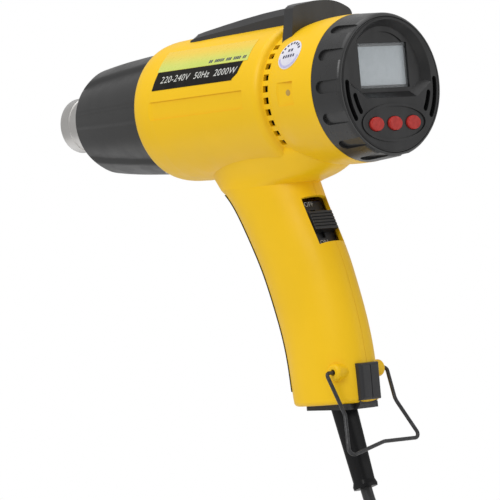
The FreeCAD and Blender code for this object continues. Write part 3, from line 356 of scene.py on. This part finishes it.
lcd.put("display_module")
lens = Mat("window_clear", (0.80, 0.84, 0.86), 0.05, 0.5)
lens.roughness(lens.remap(lens.noise(140.0, 4.0), 0.03, 0.10))
lens.p.inputs["Alpha"].default_value = 0.16
lens.put("display_lens")
try:
    lens.m.surface_render_method = "BLENDED"
except Exception:
    pass
bez = moulded("lcd_bezel_black", (0.012, 0.012, 0.013), 0.5, 1500.0, 0.15, 0.1)

# inner parts
pcb = Mat("pcb_green", (0.020, 0.12, 0.055), 0.35, 0.5)
pcb.base(pcb.mix(pcb.remap(pcb.voronoi(420.0), 0.0, 1.0, 0.05, 0.16), (0.035, 0.20, 0.08), (0.014, 0.095, 0.045)))
pcb.roughness(pcb.remap(pcb.noise(300.0, 3.0), 0.28, 0.44))
pcb.put("control_board", "button_board", "power_board")
comp = moulded("component_black", (0.028, 0.028, 0.03), 0.5, 1500.0, 0.2, 0.15)
comp.put("board_components", "power_components", "tact_switches")
mica = Mat("mica_sheet", (0.62, 0.55, 0.40), 0.42, 0.5)
mica.base(mica.mix(mica.remap(mica.noise(220.0, 6.0, 0.7), 0.0, 1.0, 0.35, 0.65), (0.42, 0.34, 0.20), (0.74, 0.68, 0.54)))
mica.roughness(mica.remap(mica.noise(400.0, 3.0), 0.32, 0.55))
mica.bump(mica.noise(500.0, 4.0), 0.3, 0.0001)
mica.put("mica_liner", "heater_disc", "outlet_baffle")
cer = Mat("heater_ceramic", (0.78, 0.75, 0.68), 0.65, 0.4)
cer.base(cer.mix(cer.remap(cer.noise(300.0, 5.0), 0.0, 1.0), (0.68, 0.64, 0.56), (0.84, 0.82, 0.76)))
cer.roughness(cer.remap(cer.noise(400.0, 3.0), 0.55, 0.78))
cer.bump(cer.noise(900.0, 3.0), 0.4, 0.00012)
cer.put("heater_core")
nich = Mat("heater_alloy", (0.34, 0.31, 0.29), 0.42, 0.5, 0.9)
nich.base(nich.mix(nich.remap(nich.noise(500.0, 4.0), 0.0, 1.0), (0.22, 0.19, 0.17), (0.46, 0.43, 0.40)))
nich.roughness(nich.remap(nich.noise(600.0, 3.0), 0.34, 0.52))
nich.put("heating_coil", "air_sensor", "thermal_cutout")
can = Mat("motor_zinc", (0.56, 0.56, 0.57), 0.32, 0.5, 1.0)
can.base(can.mix(can.remap(can.noise(80.0, 5.0), 0.0, 1.0), (0.48, 0.48, 0.49), (0.66, 0.66, 0.67)))
can.roughness(can.remap(can.noise(180.0, 4.0), 0.26, 0.44))
can.put("motor_can", "motor_rotor")
cop = Mat("winding_copper", (0.62, 0.25, 0.11), 0.36, 0.5, 0.9)
cop.base(cop.mix(cop.remap(cop.noise(60.0, 3.0, stretch=(1, 20, 20)), 0.0, 1.0), (0.46, 0.16, 0.07), (0.72, 0.32, 0.15)))
cop.roughness(cop.remap(cop.noise(500.0, 3.0), 0.28, 0.46))
cop.bump(cop.noise(80.0, 2.0, stretch=(30, 1, 1)), 0.4, 0.0002)
cop.put("rotor_windings")
fan = moulded("fan_grey", (0.12, 0.12, 0.125), 0.42, 1300.0, 0.2, 0.1)
fan.put("fan_impeller")
# the duct is a dark red-brown moulding, which is what shows through the air inlets
duct = moulded("duct_brown", (0.26, 0.030, 0.018), 0.50, 1300.0, 0.2, 0.12)
duct.put("fan_duct")
brass = Mat("pin_nickel", (0.66, 0.62, 0.54), 0.24, 0.5, 1.0)
brass.base(brass.mix(brass.remap(brass.noise(300.0, 4.0), 0.0, 1.0), (0.60, 0.56, 0.48), (0.74, 0.71, 0.63)))
brass.roughness(brass.remap(brass.noise(240.0, 3.0, stretch=(1, 14, 14)), 0.18, 0.34))
brass.put("plug_pins")
ins = moulded("wire_insulation", (0.10, 0.022, 0.018), 0.45, 900.0, 0.1, 0.15)
ins.put("mains_wires")


# ------------------------------------------------------------------ mesh helpers
def mesh_object(name, verts, faces, mat=None, smooth=False):
    me = bpy.data.meshes.new(name)
    me.from_pydata([tuple(v) for v in verts], [], faces)
    me.validate()
    me.update()
    if smooth:
        me.polygons.foreach_set("use_smooth", [True] * len(me.polygons))
    o = link(bpy.data.objects.new(name, me))
    if mat is not None:
        me.materials.append(mat.m)
    return o


def plates(name, quads, thick, mat):
    """Small raised plates: each is (4 or more corner points, outward direction)."""
    bm = bmesh.new()
    for ring, out in quads:
        lo = [bm.verts.new(p) for p in ring]
        hi = [bm.verts.new(p + out * thick) for p in ring]
        n = len(ring)
        bm.faces.new(hi)
        bm.faces.new(list(reversed(lo)))
        for i in range(n):
            bm.faces.new((lo[i], lo[(i + 1) % n], hi[(i + 1) % n], hi[i]))
    bmesh.ops.recalc_face_normals(bm, faces=bm.faces)
    me = bpy.data.meshes.new(name)
    bm.to_mesh(me)
    bm.free()
    me.materials.append(mat.m)
    return link(bpy.data.objects.new(name, me))


def lettering(name, text, size, place, mat, shear=0.0, spacing=1.0):
    """Flat lettering, filled, with its outline put through place(u, v) in mm, raised a little."""
    fc = bpy.data.curves.new(name + ".font", "FONT")
    fc.body = text
    fc.size = size
    fc.shear = shear
    fc.space_character = spacing
    fc.align_x = "CENTER"
    fc.align_y = "CENTER"
    fc.resolution_u = 4
    fo = link(bpy.data.objects.new(name + ".font", fc))
    bpy.context.view_layer.update()
    me = bpy.data.meshes.new_from_object(fo.evaluated_get(bpy.context.evaluated_depsgraph_get()))
    bpy.data.objects.remove(fo)
    bpy.data.curves.remove(fc)
    for v in me.vertices:
        v.co = place(v.co.x, v.co.y)
    me.name = name
    me.update()
    me.materials.clear()
    me.materials.append(mat.m)
    return link(bpy.data.objects.new(name, me))


def on_barrel(x, ang_deg, lift):
    r = 43.2 + lift
    a = math.radians(ang_deg)
    return W(x, r * math.cos(a), r * math.sin(a))


# ------------------------------------------------------------------ switch lettering
SO, ST, SN = Vector((66.2, 0, -74.1)), Vector((-0.395, 0, -0.919)), Vector((-0.919, 0, 0.395))


def on_switch(s0, y0):
    def f(u, v):
        p = SO + ST * (s0 - v) + SN * (-4.9 + 0.05) + Vector((0, y0 - u, 0))
        return W(*p)
    return f


off = lettering("switch_text_off", "OFF", 4.4, on_switch(-13.0, 1.2), inkw)
on_ = lettering("switch_text_on", "ON", 4.4, on_switch(12.3, 0.6), inkw)
for o in (off, on_):
    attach(o, "housing")

# ------------------------------------------------------------------ label print: rating figures, and plain dashes for the title
def on_black(u, v):
    return on_barrel(120.6 - u, 24.4 + v / 43.4 * 57.2958, 0.27)


rate = lettering("rating_print", "220-240V  50Hz  2000W", 6.1, on_black, inkw, shear=0.25, spacing=1.06)
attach(rate, "housing")


def dash(x0, x1, a0, a1, lift, slant=0.0):
    n = max(1, int(abs(x1 - x0) / 2.0))
    ring = [on_barrel(x0 + (x1 - x0) * i / n, a0, lift) for i in range(n + 1)]
    ring += [on_barrel(x0 + (x1 - x0) * i / n - slant, a1, lift) for i in range(n, -1, -1)]
    am = math.radians((a0 + a1) / 2)
    return ring, Vector((0, math.cos(am), math.sin(am)))


marks, x = [], 82.5
for word in (3.0, 6.4, 4.6, 8.2, 3.4):
    n = max(2, int(word / 1.45))
    for k in range(n):
        w = word / n
        marks.append(dash(x + w * k, x + w * k + w * 0.72, 34.4, 37.2, 0.20, 0.5))
    x += word + 1.7
title = plates("title_marks", marks, 0.00003, ink)
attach(title, "housing")

# ------------------------------------------------------------------ sticker print: a broken ring and two short rows
SA = math.radians(32.5)
S_C = Vector((44.8, 0, 0))
S_N = Vector((0, math.cos(SA), math.sin(SA)))
S_U = Vector((-1, 0, 0))
S_V = Vector((0, -math.sin(SA), math.cos(SA)))
PROF = [(30, 43.5), (35, 43.40), (40, 43.2), (45, 42.72), (50, 42.1), (57, 40.9)]


def prof_r(x):
    for (x0, r0), (x1, r1) in zip(PROF, PROF[1:]):
        if x <= x1:
            return r0 + (r1 - r0) * (x - x0) / (x1 - x0)
    return PROF[-1][1]


def on_sticker(u, v, lift=0.30):
    x = 44.8 - u
    r = prof_r(x) + lift
    q = v / r
    a = SA + math.asin(max(-1, min(1, q)))
    return W(x, r * math.cos(a), r * math.sin(a))


def ring_mark(a0, a1, r0, r1):
    n = 3
    ring = [on_sticker(r0 * math.cos(math.radians(a0 + (a1 - a0) * i / n)), r0 * math.sin(math.radians(a0 + (a1 - a0) * i / n))) for i in range(n + 1)]
    ring += [on_sticker(r1 * math.cos(math.radians(a0 + (a1 - a0) * i / n)), r1 * math.sin(math.radians(a0 + (a1 - a0) * i / n))) for i in range(n, -1, -1)]
    return ring, S_N


sm = []
for k in range(8):
    a = 24 + 19.0 * k
    sm.append(ring_mark(a, a + 10.5, 6.9, 8.6))
for row, (v, ws) in enumerate(((1.6, (1.7, 1.7)), (-2.4, (1.3, 1.3, 1.3, 1.3, 1.3)))):
    u = -sum(ws) / 2 - 0.45 * (len(ws) - 1)
    for w in ws:
        sm.append(([on_sticker(u, v), on_sticker(u + w, v), on_sticker(u + w, v + 1.9), on_sticker(u, v + 1.9)], S_N))
        u += w + 0.9
stm = plates("sticker_marks", sm, 0.00003, ink)
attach(stm, "housing")
lav = Mat("ink_lavender", (0.52, 0.50, 0.78), 0.4, 0.4)
lav.base(lav.mix(lav.remap(lav.noise(500.0, 3.0), 0.0, 1.0), (0.46, 0.44, 0.72), (0.58, 0.56, 0.82)))
arc = plates("sticker_arc", [ring_mark(a, a + 8.0, 7.6, 8.9) for a in range(196, 344, 8)], 0.00003, lav)
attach(arc, "housing")

# ------------------------------------------------------------------ display bezel
def ring_plate(name, outer, inner, x0, x1, mat):
    """A rectangular frame in the YZ plane between x0 and x1 (mm)."""
    (a0, b0, a1, b1), (c0, d0, c1, d1) = outer, inner
    o = [(a0, b0), (a1, b0), (a1, b1), (a0, b1)]
    i = [(c0, d0), (c1, d0), (c1, d1), (c0, d1)]
    v = [W(x0, y, z) for y, z in o] + [W(x0, y, z) for y, z in i] + [W(x1, y, z) for y, z in o] + [W(x1, y, z) for y, z in i]
    f = []
    for k in range(4):
        n = (k + 1) % 4
        f += [(k, n, 4 + n, 4 + k), (8 + k, 12 + k, 12 + n, 8 + n), (k, 8 + k, 8 + n, n), (4 + k, 4 + n, 12 + n, 12 + k)]
    ob = mesh_object(name, v, f, mat)
    bm = bmesh.new(); bm.from_mesh(ob.data); bmesh.ops.recalc_face_normals(bm, faces=bm.faces); bm.to_mesh(ob.data); bm.free()
    return ob


bezel = ring_plate("display_bezel", (-22.4, -4.2, 22.4, 27.0), (-19.9, 0.2, 20.6, 22.8), 7.40, 7.58, bez)
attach(bezel, "housing")

# ------------------------------------------------------------------ coil tie
def tie(az, name):
    a = math.radians(az)
    rad, tan = Vector((math.cos(a), math.sin(a), 0)), Vector((-math.sin(a), math.cos(a), 0))
    r0, r1 = 0.0313, 0.0457
    z0, z1 = BENCH, BENCH + 0.0284
    c = 0.003
    prof = []
    for (cx, cz, a0) in ((r1 - c, z1 - c, 0), (r0 + c, z1 - c, 90), (r0 + c, z0 + c, 180), (r1 - c, z0 + c, 270)):
        for k in range(6):
            t = math.radians(a0 + 18 * k)
            prof.append((cx + c * math.cos(t), cz + c * math.sin(t), math.cos(t), math.sin(t)))
    n = len(prof)
    verts, faces = [], []
    for side, w in enumerate((-0.0042, -0.0038, 0.0038, 0.0042)):
        th = 0.0003 if side in (0, 3) else 0.0007
        for (r, z, nr, nz) in prof:
            verts.append(Vector((CX, CY, 0)) + rad * (r + nr * th) + tan * w + Vector((0, 0, z + max(-0.0003, nz * th))))
    for s in range(3):
        for k in range(n):
            m = (k + 1) % n
            faces.append((s * n + k, s * n + m, (s + 1) * n + m, (s + 1) * n + k))
    b0 = len(verts)
    for side, w in ((0, -0.0042), (1, 0.0042)):
        for (r, z, nr, nz) in prof:
            verts.append(Vector((CX, CY, 0)) + rad * (r - nr * 0.0002) + tan * w + Vector((0, 0, z - nz * 0.0002)))
    for k in range(n):
        m = (k + 1) % n
        faces.append((k, b0 + k, b0 + m, m))
        faces.append((3 * n + k, 3 * n + m, b0 + n + m, b0 + n + k))
        faces.append((b0 + k, b0 + n + k, b0 + n + m, b0 + m))
    o = mesh_object(name, verts, faces, None, True)
    bm = bmesh.new(); bm.from_mesh(o.data); bmesh.ops.recalc_face_normals(bm, faces=bm.faces); bm.to_mesh(o.data); bm.free()
    return o


tie_m = Mat("tie_fabric", (0.018, 0.018, 0.02), 0.85, 0.25)
weave = tie_m.node("ShaderNodeTexWave", wave_type="BANDS", bands_direction="Z")
weave.inputs["Scale"].default_value = 420.0
tie_m.link(tie_m.coords(), weave.inputs["Vector"])
tie_m.base(tie_m.mix(weave.outputs["Fac"], (0.012, 0.012, 0.013), (0.035, 0.035, 0.038)))
tie_m.bump(weave.outputs["Fac"], 0.4, 0.0002)
for az, nm in ((200.0, "coil_tie_a"), (20.0, "coil_tie_b")):
    t = tie(az, nm)
    t.data.materials.append(tie_m.m)
    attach(t, "housing")

# ------------------------------------------------------------------ floor
fl = Mat("floor_pale", (0.86, 0.86, 0.86), 0.7, 0.2)
fl.base(fl.mix(fl.remap(fl.noise(6.0, 3.0), 0.0, 1.0), (0.85, 0.85, 0.85), (0.88, 0.88, 0.88)))
# the floor runs out into the white of the studio instead of ending in an edge
FLOOR_R = 0.62
dist = fl.math("SQRT", fl.math("ADD", fl.math("MULTIPLY", fl.axis("X"), fl.axis("X")), fl.math("MULTIPLY", fl.axis("Y"), fl.axis("Y"))))
glow = fl.node("ShaderNodeEmission")
glow.inputs["Color"].default_value = (1, 1, 1, 1)
blend = fl.node("ShaderNodeMixShader")
fl.link(fl.remap(dist, 0.0, 1.0, 0.26, 0.56), blend.inputs[0])
fl.link(fl.p.outputs[0], blend.inputs[1])
fl.link(glow.outputs[0], blend.inputs[2])
fl.link(blend.outputs[0], [k for k in fl.n if k.bl_idname == "ShaderNodeOutputMaterial"][0].inputs["Surface"])
verts, faces = [Vector((0, 0, BENCH - 0.0006))], []
for k in range(96):
    a = 2 * math.pi * k / 96
    verts.append(Vector((FLOOR_R * math.cos(a), FLOOR_R * math.sin(a), BENCH - 0.0006)))
for k in range(96):
    faces.append((0, 1 + k, 1 + (k + 1) % 96))
floor = mesh_object("floor", verts, faces, fl)

# ------------------------------------------------------------------ world and lights
world = bpy.data.worlds.new("studio")
scene.world = world
world.use_nodes = True
wt = world.node_tree
wt.nodes.clear()
out = wt.nodes.new("ShaderNodeOutputWorld")
bg_seen = wt.nodes.new("ShaderNodeBackground")
bg_seen.inputs["Color"].default_value = (1, 1, 1, 1)
bg_seen.inputs["Strength"].default_value = 1.0
bg_lit = wt.nodes.new("ShaderNodeBackground")
bg_lit.inputs["Color"].default_value = (1, 1, 1, 1)
bg_lit.inputs["Strength"].default_value = 0.52
lp = wt.nodes.new("ShaderNodeLightPath")
mx = wt.nodes.new("ShaderNodeMixShader")
wt.links.new(lp.outputs["Is Camera Ray"], mx.inputs[0])
wt.links.new(bg_lit.outputs[0], mx.inputs[1])
wt.links.new(bg_seen.outputs[0], mx.inputs[2])
wt.links.new(mx.outputs[0], out.inputs[0])


def area(name, loc, target, size, power, color=(1, 1, 1), size_y=None):
    d = bpy.data.lights.new(name, "AREA")
    d.energy = power
    d.color = color
    d.shape = "RECTANGLE" if size_y else "SQUARE"
    d.size = size
    if size_y:
        d.size_y = size_y
    o = link(bpy.data.objects.new(name, d))
    o.location = loc
    o.rotation_mode = "QUATERNION"
    o.rotation_quaternion = (Vector(target) - Vector(loc)).to_track_quat("-Z", "Y")
    return o


VR, VU, VB = Vector(R), Vector(U), Vector(B)
mid = W(120, 0, -60)
area("key", mid - VR * 1.0 + VU * 1.1 + VB * 1.2, mid, 1.0, 13.0)
area("top", mid + Vector((0, 0, 1.3)), mid, 1.2, 7.0)
area("side", mid + VR * 1.5 + VU * 0.3 + VB * 0.3, mid, 0.9, 1.6)

scene.view_settings.view_transform = "Standard"
scene.view_settings.look = "None"
scene.view_settings.exposure = 0.0
scene.view_settings.gamma = 1.0
